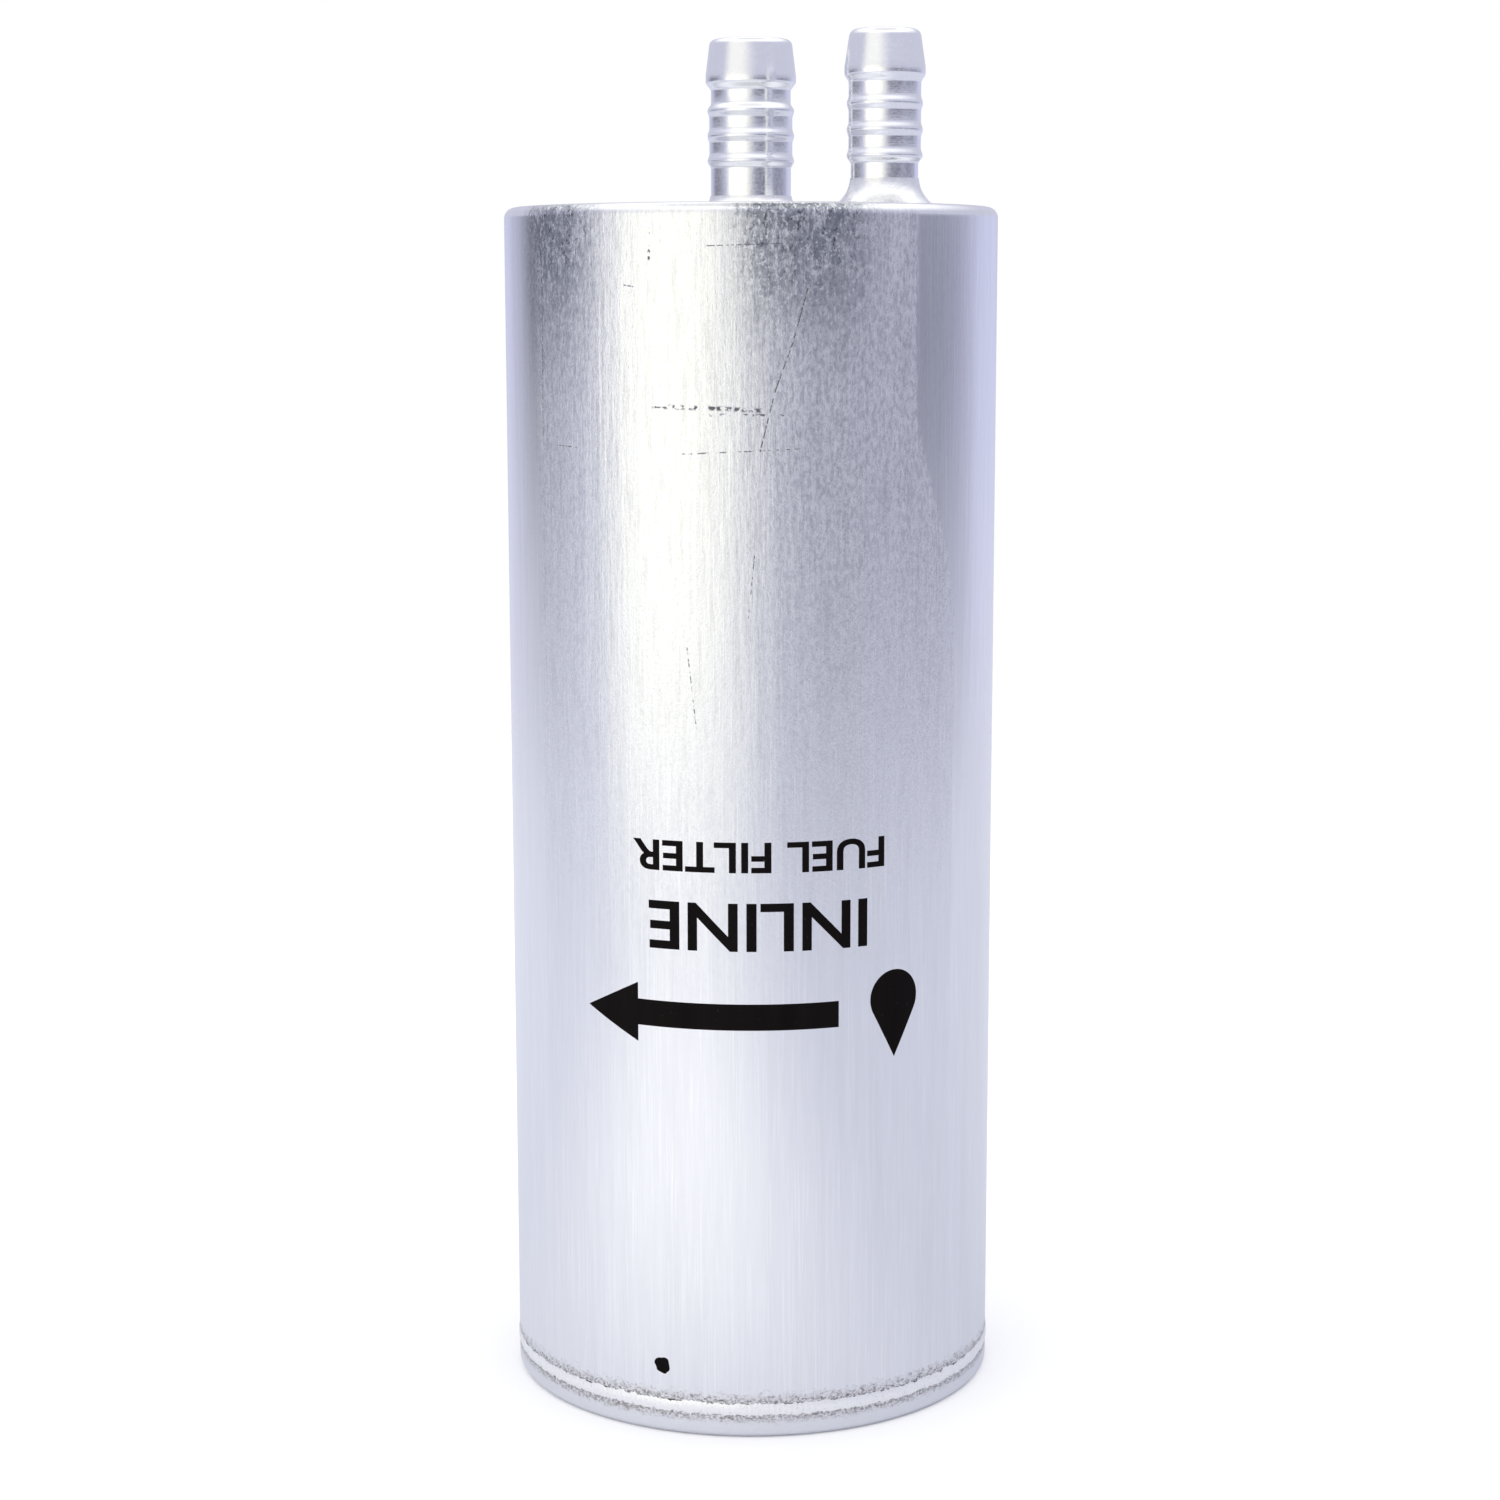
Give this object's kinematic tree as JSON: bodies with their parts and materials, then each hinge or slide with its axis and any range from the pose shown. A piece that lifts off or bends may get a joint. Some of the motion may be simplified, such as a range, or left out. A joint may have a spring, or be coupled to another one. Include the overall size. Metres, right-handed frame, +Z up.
{
  "type": "fuel filter",
  "caption": "Round aluminium inline fuel filter canister with two hose barbs on top and a spring-loaded pleated paper cartridge inside.",
  "frame": {"origin": "on the canister's axis, at the plane its foot stands on", "axes": "+Z up along the canister towards the two hose barbs; -Y is the printed side, and the inlet barb lies towards +X and -Y, 42.5 degrees below +X"},
  "size_m": [0.0842, 0.0842, 0.2315],
  "materials": {
    "can_aluminium": "satin extruded aluminium with fine lengthwise draw lines, dulled and speckled near the top",
    "cap_aluminium": "satin pressed aluminium",
    "weld_bead": "bright rippled weld bead with grey-brown smut on both sides",
    "turned_aluminium": "smooth machined aluminium",
    "braze_filler": "smooth flowed filler metal",
    "spring_steel": "drawn wire, dark oil-tempered",
    "tin_plate": "tin-plated pressed sheet",
    "filter_paper": "resin-treated cellulose paper",
    "adhesive": "cured brown plastisol adhesive",
    "bead_glue": "cured hot-melt glue",
    "seal_rubber": "black nitrile rubber",
    "black_plastic": "moulded black nylon",
    "black_ink": "thin black pad-printed ink"
  },
  "bodies": {
    "canister": {"can_wall": "can_aluminium", "can_top": "can_aluminium", "end_cap": "cap_aluminium", "girth_weld": "weld_bead", "outlet_barb": "turned_aluminium", "outlet_braze": "braze_filler", "inlet_barb": "turned_aluminium", "inlet_braze": "braze_filler", "spring_seat": "tin_plate", "hold_down_spring": "spring_steel"},
    "element": {"lower_end_disc": "tin_plate", "lower_potting": "adhesive", "centring_ring": "black_plastic", "filter_media": "filter_paper", "media_seam_clip": "tin_plate", "pleat_spacer_beads": "bead_glue", "centre_tube": "tin_plate", "upper_potting": "adhesive", "upper_end_disc": "tin_plate", "outlet_seal": "seal_rubber", "seal_retainer": "tin_plate"}
  },
  "joints": [
    {"name": "element_float", "type": "slide", "parent": "canister", "child": "element", "axis": [0, 0, 1], "range_m": [-0.0025, 0], "stiffness_N_per_m": 5000, "springref_m": 0.006, "deforming": ["hold_down_spring"]}
  ]
}
